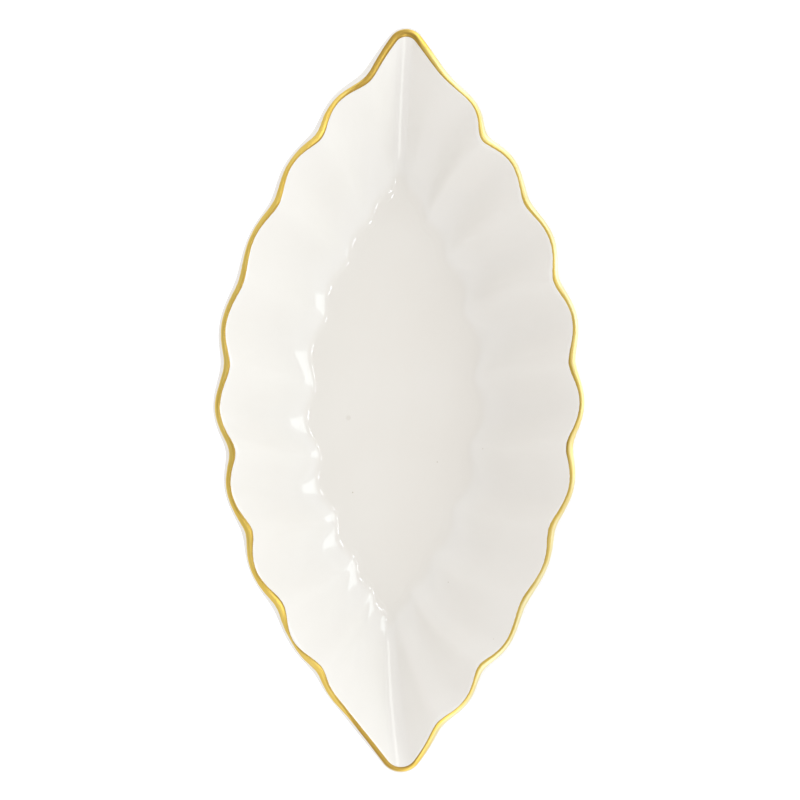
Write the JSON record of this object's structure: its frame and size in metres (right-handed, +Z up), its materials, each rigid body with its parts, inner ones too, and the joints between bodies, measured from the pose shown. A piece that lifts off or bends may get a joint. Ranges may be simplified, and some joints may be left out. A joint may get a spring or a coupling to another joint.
{
  "type": "leaf dish",
  "caption": "Leaf shaped serving dish in white glazed porcelain, with fluted walls, a flat leaf shaped well, a gilded scalloped rim and a leaf shaped foot ring.",
  "frame": {"origin": "centre of the plane that the foot ring stands on", "axes": "+Y along the leaf from tip to tip, +X across it, +Z up out of the open side"},
  "size_m": [0.124, 0.25, 0.0401],
  "materials": {
    "glaze": "glossy warm white glaze",
    "gilding": "burnished gold line, painted by hand",
    "bisque": "ground foot, bare of glaze"
  },
  "bodies": {
    "root": {"porcelain_body": "glaze", "gold_rim": "gilding", "foot_ring": "bisque"}
  },
  "joints": []
}
